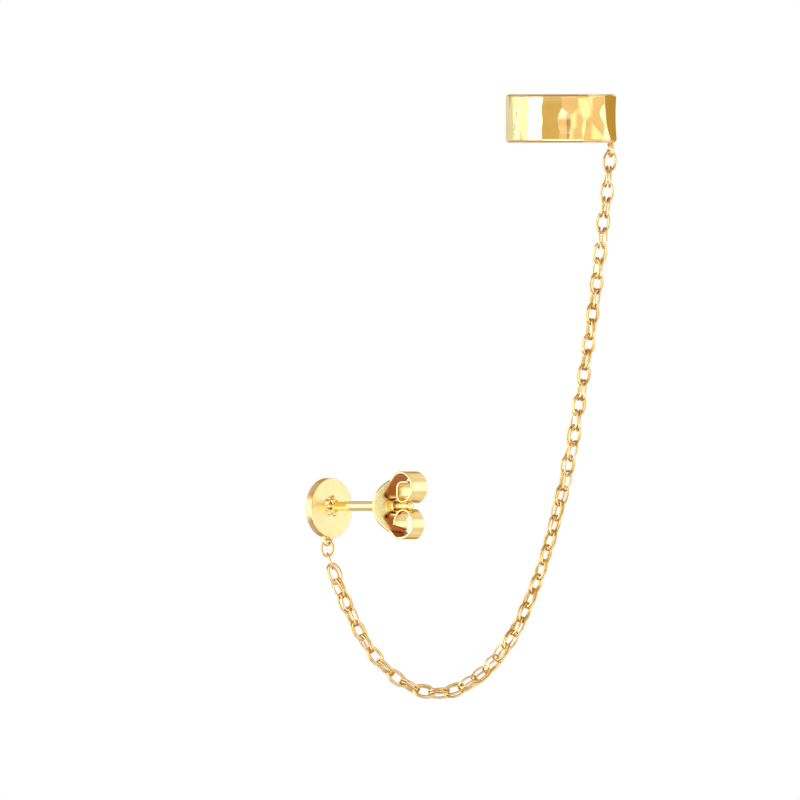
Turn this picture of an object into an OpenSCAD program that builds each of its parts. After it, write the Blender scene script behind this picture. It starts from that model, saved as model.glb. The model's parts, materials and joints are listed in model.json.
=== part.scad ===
// Ear chain earring: a disc stud with a butterfly back, a hammered ear cuff, and a fine
// double-link chain that hangs between them. Lengths are millimetres and angles degrees.
// +Z is up and the chain hangs in a plane of constant Y. The origin is on the post's axis,
// halfway between the disc and the butterfly back, where the ear lobe sits.

/* [Stud] */
// Diameter of the disc
disc_d = 5.2; // [4.6:0.1:7]
// Thickness of the disc
disc_t = 0.75; // [0.5:0.05:1.2]
// How far the post sits above the middle of the disc
post_rise = 0.17; // [0:0.01:0.5]
// Diameter of the post
post_d = 0.84; // [0.74:0.02:1]
// Length of the post from the disc to its tip
post_l = 9.7; // [8.8:0.1:11.5]
// Diameter of the post at its soldered foot
foot_d = 0.74; // [0.6:0.02:0.74]
// Radius of the solder fillet around the foot
solder_r = 0.42; // [0.2:0.02:0.6]
// Turn of the post from the chain's plane, as worn
post_turn = 44; // [30:1:60]
// Outside diameter of the eyelet under the disc
eye_d = 1.2; // [1.1:0.05:1.6]
// Wire of the eyelet
eye_wire = 0.3; // [0.22:0.02:0.34]
// How far the eyelet shows below the disc
eye_drop = 0.74; // [0.7:0.01:0.9]
// Distance of the eyelet's wire from the front of the disc
eye_inset = 0.03; // [0.02:0.01:0.2]
// Distance of the first friction groove from the post's tip
groove_1 = 0.42; // [0.42:0.02:0.6]
// Distance of the second friction groove from the post's tip
groove_2 = 1.2; // [1:0.05:1.6]
// Radius of a friction groove
groove_r = 0.12; // [0.1:0.01:0.16]
// Depth of a friction groove
groove_depth = 0.07; // [0.04:0.01:0.09]
// Bevel of the disc's edges and of the collar's rim
edge_bevel = 0.07; // [0.04:0.01:0.1]

/* [Butterfly back] */
// Room for the ear lobe, from the disc to the plate of the back
lobe_gap = 7.03; // [6.4:0.01:7.6]
// Thickness of the sheet
sheet_t = 0.2; // [0.14:0.02:0.26]
// Width of the plate
plate_w = 4.4; // [3:0.1:5]
// Height of the oval that the plate is cut to
plate_h = 5; // [4.6:0.1:5.4]
// Width of the two scrolls
scroll_w = 2; // [1.4:0.1:2.6]
// Radius to which the plate is dished
dish_r = 3.07; // [2.9:0.01:3.4]
// Straight run of the sheet between the plate and a scroll
strip_run = 0.5; // [0.4:0.05:0.6]
// Radius of the outer turn of the upper scroll
upper_r = 1.3; // [1.2:0.02:1.4]
// Radius of the turns inside the upper scroll
upper_curl_r = 0.6; // [0.5:0.02:0.66]
// Straight side inside the upper scroll
upper_side = 0.42; // [0.2:0.02:0.46]
// Straight lip at the end of the upper scroll
upper_lip = 0.5; // [0.2:0.05:0.55]
// Radius of the bend at the bottom of the lower scroll
lower_bend_r = 0.9; // [0.8:0.02:0.94]
// Straight run under the lower scroll
lower_foot = 0.2; // [0.1:0.02:0.3]
// Radius of the outer turn of the lower scroll
lower_r = 1.24; // [1.16:0.02:1.3]
// Radius of the turn inside the lower scroll
lower_curl_r = 1.14; // [1:0.02:1.2]
// Radius of the last bend of the lower scroll
lower_lip_r = 0.7; // [0.5:0.05:0.9]
// Turn of the last bend of the lower scroll
lower_lip_turn = 40; // [10:1:60]
// Outside diameter of the collar around the post's hole
collar_d = 1.4; // [1.3:0.05:1.6]
// Height of the collar above the middle of the sheet
collar_h = 0.92; // [0.5:0.02:1.1]
// Flare of the collar where it meets the plate
collar_flare = 0.15; // [0.05:0.05:0.2]
// Clearance between the post and the back
slide_gap = 0.03; // [0.02:0.01:0.06]
// Depth of the channel that the post has in each scroll
scroll_bite = 0.09; // [0.04:0.01:0.1]

/* [Chain] */
// Number of link pairs
pairs = 50; // [44:1:56]
// Length of a link of the chain
link_l = 1.93; // [1.86:0.01:2.1]
// Width of a link of the chain
link_w = 1.23; // [1.2:0.01:1.4]
// Wire of the links
link_wire = 0.17; // [0.12:0.01:0.18]
// Play along the chain between one pair and the next
link_play = 0.245; // [0.22:0.005:0.3]
// Clear space between links that hang in each other
link_gap = 0.102; // [0.1:0.002:0.12]
// Length of the jump link and of the end link
jump_l = 1.6; // [1.5:0.05:2]
// Width of the jump link and of the end link
jump_w = 1.2; // [1.1:0.05:1.4]
// Lean of the end link towards the cuff
end_lean = 20; // [0:1:30]
// Roll of the first pair about the chain
roll_first = 22; // [0:1:45]
// Twist of the whole chain
chain_twist = 60; // [0:1:60]

/* [Cuff] */
// Outside diameter of the band
cuff_d = 9.65; // [8.6:0.05:12]
// Height of the band
cuff_h = 4.2; // [3.4:0.1:5]
// Thickness of the band
cuff_t = 0.65; // [0.55:0.05:0.9]
// Width of the opening at the back of the band
cuff_gap = 1.2; // [0.8:0.1:3]
// Radius of the outer edges
edge_r = 0.35; // [0.2:0.05:0.4]
// Depth of a hammer mark
dent_depth = 0.08; // [0.04:0.01:0.1]
// Radius of the hammer's face
dent_r = 3.5; // [2.5:0.1:5]
// Number of rows of hammer marks
dent_rows = 3; // [2:1:4]
// Number of hammer marks around the whole circle
dent_columns = 22; // [16:1:26]
// Outside diameter of the loop under the band
loop_d = 1.5; // [1.4:0.05:2]
// Wire of the loop
loop_wire = 0.3; // [0.22:0.02:0.34]
// How far the loop shows below the band
loop_drop = 1.3; // [1.1:0.05:1.35]
// Place of the loop, as a turn from the band's right side towards its back
loop_turn = 18; // [0:1:40]
// Place of the opening, as a turn from the band's right side towards its back
gap_turn = 61; // [50:1:120]

/* [As worn] */
// Distance of the cuff's middle to the right of the lobe
cuff_x = 17.4; // [14:0.1:20]
// Height of the cuff's middle above the lobe
cuff_z = 33.7; // [28:0.1:38]

/* [Hidden] */

GOLD = "#e6c068";
PALE_GOLD = "#f2dc98";

// Fullness of a link's outline, where 2 would be an ellipse
LINK_POWER = 3;
LINK_SIDES = 12;
WIRE_SIDES = 6;
// Roll of the end link about the chain
END_ROLL = -80;
// Largest turn of one straight step of the bent sheet
BEND_STEP = 9;
// Turn of the dished plate, each way from its middle
DISH_TURN = 45;
// Turn at the very end of the upper scroll's lip
LIP_TURN = 10;
PLATE_SIDES = 60;
ROUND = 96;
FOOT_TAPER = 3 * foot_d;
// Most that a hammer mark is off its place, as shares of the marks' spacing
STRAY_TURN = 0.18;
STRAY_RISE = 0.09;

// The disc reaches this far below the post's axis
disc_reach = disc_d / 2 + post_rise;
eye_mid = -lobe_gap / 2 - disc_t + eye_inset + eye_wire / 2;
eye_bottom = -disc_reach - eye_drop;
eye_z = eye_bottom + eye_d / 2;

// A link's curve reaches this far from its middle, at the distance off to one side
function reach(length, width, off) =
    let (h = (length - link_wire) / 2, w = (width - link_wire) / 2)
    h * pow(1 - pow(abs(off) / w, LINK_POWER), 1 / LINK_POWER);

pair_gap = link_wire + link_gap;
link_h = reach(link_l, link_w, 0);
jump_h = reach(jump_l, jump_w, 0);
link_hold = (link_wire + link_play) / 2;
pitch = 2 * reach(link_l, link_w, pair_gap / 2) - link_wire - link_play;
chain_length = pairs * pitch;

chain_x = eye_mid * cos(post_turn);
chain_y = -eye_mid * sin(post_turn);

// A wire that passes through a ring, this far off its middle, lies this much higher in it
function climb(hole_r, off) = hole_r - sqrt(hole_r * hole_r - off * off);

// The jump link hangs in the eyelet, the end link in the jump link, the first pair in the end link
jump_off = (eye_wire * sin(post_turn) + link_wire) / 2;
jump_top = eye_bottom + eye_wire + link_gap + climb(eye_d / 2 - eye_wire, jump_off) + link_wire / 2;
jump_z = jump_top - jump_h;
end_dir = [sin(end_lean), -cos(end_lean)];
end_top = [chain_x, jump_z - jump_h + pair_gap];
end_mid = end_top + end_dir * jump_h;
chain_start = end_mid + end_dir * (jump_h - link_hold);

// The last pair hangs in the loop of the cuff
cuff_mid_r = (cuff_d - cuff_t) / 2;
cuff_y = chain_y - cuff_mid_r * sin(loop_turn);
loop_x = cuff_x + cuff_mid_r * cos(loop_turn);
loop_bottom = cuff_z - cuff_h / 2 - loop_drop;
loop_z = loop_bottom + loop_d / 2;
last_off = (pair_gap + link_wire) / 2;
last_top = loop_bottom + loop_wire + link_gap + climb(loop_d / 2 - loop_wire, last_off) + link_wire / 2;
chain_end = [loop_x, last_top - (link_h - pitch / 2)];

// The chain hangs in a catenary z = a cosh(x / a) of its own length between its two ends
function sinh(x) = (exp(x) - exp(-x)) / 2;
function asinh(x) = ln(x + sqrt(x * x + 1));
function bisect(low, high, want, steps) =
    let (mid = (low + high) / 2)
    steps == 0 ? mid
    : sinh(mid) / mid < want ? bisect(mid, high, want, steps - 1)
    : bisect(low, mid, want, steps - 1);

span = chain_end - chain_start;
slack = sqrt(chain_length * chain_length - span[1] * span[1]) / span[0];
hang_a = span[0] / (2 * bisect(0.001, 12, slack, 48));
hang_t = span[1] / chain_length;
low_x = (chain_start[0] + chain_end[0]) / 2 - hang_a * ln((1 + hang_t) / (1 - hang_t)) / 2;
start_s = hang_a * sinh((chain_start[0] - low_x) / hang_a);
low_z = chain_start[1] - sqrt(hang_a * hang_a + start_s * start_s);

function hang_point(s) =
    [low_x + hang_a * asinh(s / hang_a), low_z + sqrt(hang_a * hang_a + s * s)];
function hang_angle(s) = atan(s / hang_a);

// One link in its own plane: points of its curve, and the way out of the curve at each point
function power_of(x) = sign(x) * pow(abs(x), 2 / LINK_POWER);
function curve(h, w) =
    [for (i = [0:LINK_SIDES - 1])
        let (turn = i * 360 / LINK_SIDES)
        [h * power_of(cos(turn)), w * power_of(sin(turn))]];
function outward(points, i) =
    let (n = len(points), run = points[(i + 1) % n] - points[(i + n - 1) % n])
    [run[1], -run[0]] / norm(run);

// A link's wire around its curve, placed at a middle, along a direction in the chain's plane
function link_points(length, width, mid, angle, roll, aside) =
    let (
        points = curve((length - link_wire) / 2, (width - link_wire) / 2),
        along = [cos(angle), 0, sin(angle)],
        up = [-sin(angle), 0, cos(angle)],
        wide = cos(roll) * up + sin(roll) * [0, 1, 0],
        flat = -sin(roll) * up + cos(roll) * [0, 1, 0],
        place = [mid[0], chain_y, mid[1]] + aside * flat
    )
    [for (i = [0:LINK_SIDES - 1], j = [0:WIRE_SIDES - 1])
        let (
            out = outward(points, i),
            turn = (j + 0.5) * 360 / WIRE_SIDES,
            off = link_wire / 2 * [cos(turn), sin(turn)],
            p = points[i] + off[0] * out
        )
        place + p[0] * along + p[1] * wide + off[1] * flat];
function link_faces(first) =
    [for (i = [0:LINK_SIDES - 1], j = [0:WIRE_SIDES - 1])
        let (i2 = (i + 1) % LINK_SIDES, j2 = (j + 1) % WIRE_SIDES)
        [
            first + i * WIRE_SIDES + j,
            first + i * WIRE_SIDES + j2,
            first + i2 * WIRE_SIDES + j2,
            first + i2 * WIRE_SIDES + j,
        ]];

module wire_links(all_points) {
    size = LINK_SIDES * WIRE_SIDES;
    polyhedron(
        points = [for (points = all_points) each points],
        faces = [for (i = [0:len(all_points) - 1]) each link_faces(i * size)]
    );
}

// Pairs of the chain, each rolled a quarter turn from the last, with a slow twist
module chain_pairs(first, last) {
    wire_links([
        for (i = [first:last], side = [-1, 1])
            let (
                s = start_s + (i + 0.5) * pitch,
                roll = roll_first + 90 * i + chain_twist * i / pairs
            )
            link_points(link_l, link_w, hang_point(s), hang_angle(s), roll, side * pair_gap / 2)
    ]);
}

// Post's frame: +X runs along the post from the disc to the tip
module on_post(along) {
    rotate([0, 0, -post_turn]) translate([along, 0, 0]) children();
}

module ring(outside_d, wire) {
    rotate_extrude($fn = ROUND) translate([(outside_d - wire) / 2, 0]) circle(d = wire, $fn = 48);
}

module disc() {
    r = disc_d / 2;
    rotate_extrude($fn = ROUND)
        polygon([
            [0, 0], [r - edge_bevel, 0], [r, edge_bevel], [r, disc_t - edge_bevel],
            [r - edge_bevel, disc_t], [0, disc_t],
        ]);
}

module post() {
    r = post_d / 2;
    foot_r = foot_d / 2;
    sunk = disc_t / 2;
    rotate_extrude($fn = ROUND)
        difference() {
            union() {
                polygon([
                    [0, -sunk], [foot_r, -sunk], [foot_r, 0], [r, FOOT_TAPER],
                    [r, post_l - r], [0, post_l - r],
                ]);
                intersection() {
                    translate([0, post_l - r]) circle(r = r, $fn = 64);
                    translate([0, post_l - r]) square([r, r]);
                }
                difference() {
                    translate([0, -sunk]) square([foot_r + solder_r, sunk + solder_r]);
                    translate([foot_r + solder_r, solder_r]) circle(r = solder_r, $fn = 64);
                }
            }
            for (from_tip = [groove_1, groove_2])
                translate([r + groove_r - groove_depth, post_l - from_tip]) circle(r = groove_r, $fn = 48);
        }
}

module stud() {
    color(PALE_GOLD) {
        on_post(-lobe_gap / 2) {
            translate([0, 0, -post_rise]) rotate([0, -90, 0]) disc();
            rotate([0, 90, 0]) post();
        }
        on_post(eye_mid) translate([0, 0, eye_z]) rotate([0, 90, 0]) ring(eye_d, eye_wire);
    }
}

// Mid-line of the bent sheet, from the middle of the plate to the end of one scroll.
// Each bend first runs straight and then turns towards the tip of the post.
RUN = 0;
TURN = 1;
RADIUS = 2;
strip_end_z = (dish_r + strip_run) * sin(DISH_TURN);
post_side_z = post_d / 2 + slide_gap - scroll_bite + sheet_t / 2;
upper_side_z = strip_end_z - upper_r * cos(DISH_TURN);
lower_side_z = strip_end_z + lower_bend_r * (1 - cos(DISH_TURN)) - lower_r;
UPPER_BENDS = [
    [0, DISH_TURN, dish_r],
    [strip_run, 180 - DISH_TURN, upper_r],
    [0, 90, upper_side_z - post_side_z],
    [0, 90, upper_curl_r],
    [upper_side, 90, upper_curl_r],
    [upper_lip, LIP_TURN, upper_r],
];
LOWER_BENDS = [
    [0, DISH_TURN, dish_r],
    [strip_run, 90 - DISH_TURN, lower_bend_r],
    [lower_foot, 90, lower_r],
    [0, 90, lower_side_z - post_side_z],
    [0, 90, lower_curl_r],
    [0, lower_lip_turn, lower_lip_r],
];
function bend_steps(rows) =
    [for (row = rows)
        let (n = ceil(row[TURN] / BEND_STEP), turn = row[TURN] / n)
        each concat(
            row[RUN] > 0 ? [[row[RUN], 0]] : [],
            [for (i = [1:n]) [2 * row[RADIUS] * sin(turn / 2), turn]]
        )];
function walk(steps, offset) =
    [for (
        i = 0, p = [0, 0], heading = 90;
        i <= len(steps);
        p = i < len(steps)
            ? p + steps[i][0] * [cos(heading - steps[i][1] / 2), sin(heading - steps[i][1] / 2)]
            : p,
        heading = i < len(steps) ? heading - steps[i][1] : heading,
        i = i + 1
    ) p + offset * [-sin(heading), cos(heading)]];

// Side view of the sheet as one outline, from the end of one scroll to the end of the other
module sheet_side(upper, lower) {
    up_out = walk(upper, sheet_t / 2);
    up_in = walk(upper, -sheet_t / 2);
    low_out = [for (p = walk(lower, sheet_t / 2)) [p[0], -p[1]]];
    low_in = [for (p = walk(lower, -sheet_t / 2)) [p[0], -p[1]]];
    polygon(concat(
        [for (i = [len(low_out) - 1:-1:1]) low_out[i]],
        up_out,
        [for (i = [len(up_in) - 1:-1:0]) up_in[i]],
        [for (i = [1:len(low_in) - 1]) low_in[i]]
    ));
}

module sheet(width, upper, lower) {
    rotate([90, 0, 0]) linear_extrude(width, center = true) sheet_side(upper, lower);
}

module plate() {
    dish = bend_steps([[0, DISH_TURN, dish_r]]);
    intersection() {
        sheet(2 * plate_w, dish, dish);
        translate([-plate_w / 2, 0, 0])
            rotate([0, 90, 0])
                linear_extrude(plate_w)
                    polygon([
                        for (i = [0:PLATE_SIDES - 1])
                            let (turn = (i + 0.5) * 360 / PLATE_SIDES)
                            [plate_h / 2 * cos(turn), plate_w / 2 * sin(turn)]
                    ]);
    }
}

module collar() {
    r = collar_d / 2;
    rotate([0, 90, 0])
        rotate_extrude($fn = ROUND)
            polygon([
                [0, 0], [r + collar_flare, 0], [r, collar_flare], [r, collar_h - edge_bevel],
                [r - edge_bevel, collar_h], [0, collar_h],
            ]);
}

module butterfly_back() {
    color(GOLD)
        on_post(lobe_gap / 2)
            difference() {
                union() {
                    plate();
                    collar();
                    sheet(scroll_w, bend_steps(UPPER_BENDS), bend_steps(LOWER_BENDS));
                }
                rotate([0, 90, 0])
                    translate([0, 0, -plate_w / 2])
                        cylinder(h = 2 * plate_w, d = post_d + 2 * slide_gap, $fn = ROUND);
            }
}

module jump_link() {
    color(PALE_GOLD) wire_links([link_points(jump_l, jump_w, [chain_x, jump_z], 90, 0, 0)]);
}

module end_link() {
    color(GOLD)
        wire_links([link_points(jump_l, jump_w, end_mid, end_lean - 90, END_ROLL, 0)]);
}

half = floor(pairs / 2);
module chain_stud_side() {
    color(GOLD) chain_pairs(0, half - 1);
}

module chain_cuff_side() {
    color(GOLD) chain_pairs(half, pairs - 1);
}

module band() {
    r = cuff_d / 2;
    open_turn = 360 * cuff_gap / (PI * 2 * cuff_mid_r);
    rotate_extrude(angle = 360 - open_turn, start = gap_turn + open_turn / 2, $fn = 180) {
        translate([r - cuff_t, -cuff_h / 2]) square([cuff_t - edge_r, cuff_h]);
        translate([r - edge_r, -cuff_h / 2 + edge_r]) square([edge_r, cuff_h - 2 * edge_r]);
        for (side = [-1, 1])
            translate([r - edge_r, side * (cuff_h / 2 - edge_r)]) circle(r = edge_r, $fn = 48);
    }
}

// Hammer marks in staggered rows, each a little off its place
module dents() {
    row_h = (cuff_h - edge_r / 2) / dent_rows;
    for (row = [0:dent_rows - 1], column = [0:dent_columns - 1])
        let (
            astray = STRAY_TURN * sin(row * 137 + column * 211),
            turn = (column + 0.5 * (row % 2) + astray) * 360 / dent_columns,
            rise = (row - (dent_rows - 1) / 2 + STRAY_RISE * sin(column * 97 + row * 61)) * row_h
        )
        rotate([0, 0, turn])
            translate([cuff_d / 2 - dent_depth + dent_r, 0, rise]) sphere(r = dent_r, $fn = ROUND);
}

module cuff() {
    color(GOLD)
        translate([cuff_x, cuff_y, cuff_z])
            difference() {
                union() {
                    band();
                    rotate([0, 0, loop_turn])
                        translate([cuff_mid_r, 0, loop_z - cuff_z])
                            rotate([0, 90, 0])
                                ring(loop_d, loop_wire);
                }
                dents();
            }
}

stud();
butterfly_back();
jump_link();
end_link();
chain_stud_side();
chain_cuff_side();
cuff();
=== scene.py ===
import json
import math

import bmesh
import bpy
import numpy as np
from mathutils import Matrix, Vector


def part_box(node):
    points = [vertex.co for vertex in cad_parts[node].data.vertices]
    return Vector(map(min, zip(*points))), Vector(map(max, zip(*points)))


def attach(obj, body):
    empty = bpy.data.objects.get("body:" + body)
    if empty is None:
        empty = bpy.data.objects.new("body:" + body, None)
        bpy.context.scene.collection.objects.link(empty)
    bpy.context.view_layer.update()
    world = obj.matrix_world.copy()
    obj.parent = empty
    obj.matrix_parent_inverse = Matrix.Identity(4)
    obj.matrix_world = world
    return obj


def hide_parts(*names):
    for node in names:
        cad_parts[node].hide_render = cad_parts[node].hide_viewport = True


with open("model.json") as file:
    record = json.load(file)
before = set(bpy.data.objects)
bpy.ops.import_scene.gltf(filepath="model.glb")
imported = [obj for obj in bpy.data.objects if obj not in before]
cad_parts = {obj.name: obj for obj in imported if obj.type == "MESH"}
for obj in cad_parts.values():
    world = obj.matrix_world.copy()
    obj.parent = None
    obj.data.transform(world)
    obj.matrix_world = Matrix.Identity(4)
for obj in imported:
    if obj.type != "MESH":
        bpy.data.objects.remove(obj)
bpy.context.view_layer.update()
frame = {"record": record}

# Lengths are millimetres and become metres when a mesh is made
MM = 0.001

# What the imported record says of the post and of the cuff's place
mounts = {m["name"]: m for m in frame["record"]["mounts"]}
ALONG = np.array(mounts["ear_lobe"]["axis"], float)
UP = np.array([0.0, 0.0, 1.0])
ASIDE = np.cross(UP, ALONG)
CUFF_MIDDLE = np.array(mounts["ear_rim"]["pos_m"], float) / MM
CUFF_HOLE_R = mounts["ear_rim"]["dims"]["r_mm"]

# Steps round the turned bodies
LATHE_STEPS = 128

# Stud
DISC_D = 5.2
DISC_T = 0.75
DISC_EDGE_R = 0.09
# The flat ring inside the disc's rounded edge, and the small hole that is capped at its middle
DISC_BAND = 0.03
DISC_CAP_R = 0.02
POST_RISE = 0.17
POST_D = 0.84
POST_L = 9.7
FOOT_D = 0.74
FOOT_TAPER = 3 * FOOT_D
SOLDER_R = 1.0
SOLDER_L = 0.5
SOLDER_GRAINS = 30
SOLDER_GRAIN_R = 0.17
SOLDER_START = 0.05
SOLDER_SPREAD = 0.42
SOLDER_RISE = 0.2
SOLDER_FALL = 0.07
# From one grain to the next in radians, how far a grain strays from that, and how much its size varies
GRAIN_TURN = 2.4
GRAIN_STRAY = 0.5
GRAIN_VARIES = 0.45
GROOVES_FROM_TIP = [0.42, 1.2]
GROOVE_R = 0.12
GROOVE_DEPTH = 0.07
EYE_D = 1.2
EYE_WIRE = 0.3
EYE_DROP = 0.74
EYE_INSET = 0.03
# Drops of solder between the eyelet and the disc's edge: how far aside and up, and half their sizes along the
# post, aside and up. The small ones lie about by chance, within these reaches along, aside and up
EYE_DROPS = [(0, 0, 0.2, 0.46, 0.13), (-0.4, -0.02, 0.24, 0.22, 0.2), (0.4, -0.02, 0.24, 0.22, 0.22)]
SMALL_DROPS = 6
SMALL_DROP = (0.16, 0.13, 0.12)
DROP_REACH = (0.06, 0.5, 0.1)
DROP_SINK = 0.02

# Butterfly back
LOBE_GAP = 7.03
SHEET_T = 0.2
SHEET_EDGE_R = 0.07
PLATE_W = 4.4
PLATE_H = 5.0
SCROLL_W = 2.0
DISH_R = 3.07
DISH_TURN = 45
STRIP_RUN = 0.5
# Where the plate ends along the sheet, from its middle
PLATE_END = math.radians(DISH_TURN) * DISH_R + STRIP_RUN
UPPER_R = 1.3
UPPER_CURL_R = 0.6
UPPER_SIDE = 0.42
UPPER_LIP = 0.5
UPPER_LIP_TURN = 10
LOWER_BEND_R = 0.9
LOWER_FOOT = 0.2
LOWER_R = 1.24
LOWER_CURL_R = 1.14
LOWER_LIP_R = 0.7
LOWER_LIP_TURN = 40
# The lower scroll narrows to its end, which is cut at a slant
LOWER_END_W = 1.52
LOWER_SLANT = 0.45
SLANT_RUN = 1.2
TAPER_RUN = 1.4 * LOWER_R
# How far a scroll's edges lean round the post, and where: up to a distance above and below its axis, and
# from a distance aside, each with the run over which the lean fades
SCROLL_HUG = 0.1
HUG_RISE = (0.85, 0.3)
HUG_ASIDE = (0.4, 0.35)
# How deep the post's channel is cut into the scrolls
SCROLL_BITE = 0.09
COLLAR_D = 1.4
COLLAR_H = 0.92
COLLAR_FLARE = 0.15
COLLAR_FLARE_H = 0.1
COLLAR_RIM_R = 0.09
COLLAR_CORE_R = 0.3
COLLAR_BITE = 0.02
SLIDE_GAP = 0.03
# Where the post's bore begins and ends, from the plate's middle
BORE_SPAN = (-2, 6)
# Painted light and shade on the sheet's inner side: a pale tone painted on the plate as light, and a deep tone
# painted beside the scrolls' feet as the shade in those recesses. The painted shade lies up to a distance
# aside, from a distance above and below the middle, and up to a length beyond the plate, each with the run over
# which it fades
SHADE_SKIN = 0.01
PAINTED_LIGHT_END = (-0.3, 0.6)
PAINTED_SHADE_ASIDE = (1.2, 0.4)
PAINTED_SHADE_RISE = (0.5, 0.5)
UPPER_PAINTED_SHADE_END = 2.0
LOWER_PAINTED_SHADE_END = 1.5
PAINTED_SHADE_FADE = 0.7

# Chain
PAIRS = 50
LINK_L = 1.95
LINK_W = 1.2
LINK_WIRE = 0.185
LINK_POWER = 2.05
PAIR_GAP = 0.22
PITCH = 1.335
JUMP_L = 1.6
JUMP_W = 1.2
JUMP_WIRE = 0.2
END_LEAN = 20
END_ROLL = -89
ROLL_FIRST = 22
CHAIN_TWIST = 60
# How far a pair is turned out of line, and how far its two links open sideways and lengthways
PAIR_STRAY = 9
LINK_OPEN = 22
LINK_SPLAY = 4
# The steps round a link, and its soldered seam: how much it swells, over how many steps, where it lies on the
# two single links, and how far it strays on the others
LINK_STEPS = 48
SEAM_SWELL = 0.07
SEAM_REACH = 1.6
JUMP_SEAM = 30
END_SEAM = 12
SEAM_STRAY = 6
# The links of the solids, which are thinner and shorter, and the play between them
SOLID_LINK_L = 1.93
SOLID_WIRE = 0.17
SOLID_PLAY = 0.245
# How far the chain's own curve begins inside the end link, and how far it ends below the last link's top
CHAIN_HOLD = (SOLID_WIRE + SOLID_PLAY) / 2
LAST_TOP = SOLID_WIRE / 2 + (SOLID_LINK_L - SOLID_WIRE) / 2 - PITCH / 2

# Cuff
CUFF_T = 0.65
CUFF_OUTER_R = CUFF_HOLE_R + CUFF_T
CUFF_MIDDLE_R = CUFF_HOLE_R + CUFF_T / 2
CUFF_H = 4.2
CUFF_GAP = 1.2
CUFF_EDGE_R = 0.34
CUFF_INNER_EDGE_R = 0.08
CUFF_STEPS = 720
# The front's hammer marks: degrees from straight ahead, rise, the degrees by which it leans to the right and
# downwards, extra depth, and roundness
FRONT_DENTS = [
    (-73, 1.2, 0, 0, 0, 1), (-73, -0.3, 2, 0, 0, 0.8), (-74, -1.6, 0, 2, 0, 1),
    (-57, 0.35, 0, 0, 0.01, 0.05), (-61, -0.75, 0, 0, 0, 0.05), (-61, -1.5, 0, 0, -0.01, 0.05),
    (-54, 1.6, 3, -2, 0, 1), (-48, 0.85, 3, 0, 0, 0.7),
    (-56, -0.35, 4, 0, 0, 1), (-58, -1.5, 6, 2, 0, 1),
    (-30, 1.4, 0, -2, 0, 0.8), (-36, 0.7, -8, 0, -0.045, 1),
    (-31, -0.05, 0, 0, 0, 1.2), (-37, -0.75, -8, 0, -0.045, 1), (-32, -1.4, 0, 1, 0, 0.8),
    (-10.5, 0.76, 0, 0, 0, 1.3), (-9.7, -0.85, 0, 0, 0, 1.3),
    (-4, 0.05, 13, 4, -0.05, 0.35), (-2, -1.5, 11, 0, -0.05, 0.3),
    (11, 1.47, 0, 0, 0, 1), (14, -0.2, 3, 0, 0, 0.7), (15, -1.4, 0, 1, 0, 0.8),
    (23, 1.65, 0, 0, -0.02, 0.5), (29, 0.75, -1, 0, -0.01, 0.6),
    (42, 1.4, -3, 0, 0.02, 1), (48, 0.45, 0, 0, -0.02, 0.3),
    (42, -0.25, -4, 0, 0.02, 0.8), (41, -1.4, -8, 0, 0.02, 1),
    (27, -1.0, 2, 0, -0.02, 0.6), (74, 1.2, 0, 0, 0.03, 1), (71, -1.1, 0, -9, 0.03, 1), (90, 0.2, 0, 0, 0, 1),
]
# The marks round the back stand in rows. They stray in degrees, and in shares of a row's height, of their depth
# and of their roundness
DENT_ROWS = 3
BACK_DENT_TURNS = range(108, 280, 19)
DENT_STRAY = (6, 0.28, 0.15, 0.4)
DENT_DEPTH = 0.13
DENT_R = 16
DENT_LEAN = 3.5
# How soft the ridges between the marks are
DENT_RIDGE = 0.004
# Beyond a mark's border, how far below it still counts
DENT_CLIP = -0.1
LOOP_D = 1.5
LOOP_WIRE = 0.3
LOOP_DROP = 1.3
LOOP_TURN = 18
GAP_TURN = 61

# The photograph's frame: its scale, and the point of the object's plane in its middle
PX_PER_MM = 11.5
FRAME_PX = 800
FRAME_MIDDLE = [3.374, 9.217]
CAMERA_AWAY = 600
CAMERA_RANGE = (0.01, 20)

# The floor lies far enough below to hide nothing from any side
FLOOR_R = 6000
FLOOR_Z = -750
FLOOR_STEPS = 96
FLOOR_TONE = (0.5, 0.5, 0.5, 1)
FLOOR_ROUGH = 0.9

# Where the finishes and the post's painted light lie: how near the disc's back and how square to it, from where
# along the post the painted light begins, how nearly an opening's face lies along the band's radius, and how
# far a face turns inwards
DISC_BACK_NEAR = 0.01
DISC_BACK_SQUARE = 0.9
POST_PAINTED_LIGHT_FROM = 0.3
OPENING_SQUARE = 0.05
INWARDS = -0.5

# Gold plate in its finishes: its two tones, how smooth and how rough it is, and its grain's scale and height,
# with the grain's stretch on brushed sheet
GOLDS = {
    "polished_gold": ((0.92, 0.69, 0.28), (0.87, 0.63, 0.24), 0.1, 0.17, 9000, 0.001),
    # A paler copy of the gold, painted light on the post
    "pale_gold": ((1.0, 0.86, 0.37), (0.97, 0.82, 0.33), 0.1, 0.17, 9000, 0.001),
    "satin_gold": ((0.92, 0.69, 0.28), (0.88, 0.64, 0.25), 0.3, 0.38, 14000, 0.002),
    "sheet_gold": ((0.92, 0.68, 0.27), (0.87, 0.62, 0.23), 0.2, 0.27, 9000, 0.0004, (1, 1, 0.3)),
    # A darker, deeper copy of the gold, painted shade on the chain's wires
    "chain_gold": ((0.82, 0.57, 0.21), (0.68, 0.44, 0.12), 0.08, 0.14, 9000, 0.0006),
    "matt_gold": ((0.92, 0.69, 0.28), (0.87, 0.63, 0.24), 0.5, 0.6, 9000, 0.001),
    "hammered_gold": ((0.91, 0.67, 0.26), (0.87, 0.62, 0.23), 0.04, 0.1, 6000, 0.001),
}
TONE_SCALE = 900
TONE_SPAN = (0.35, 0.65)
GRAIN_SPAN = (0.3, 0.7)
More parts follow.
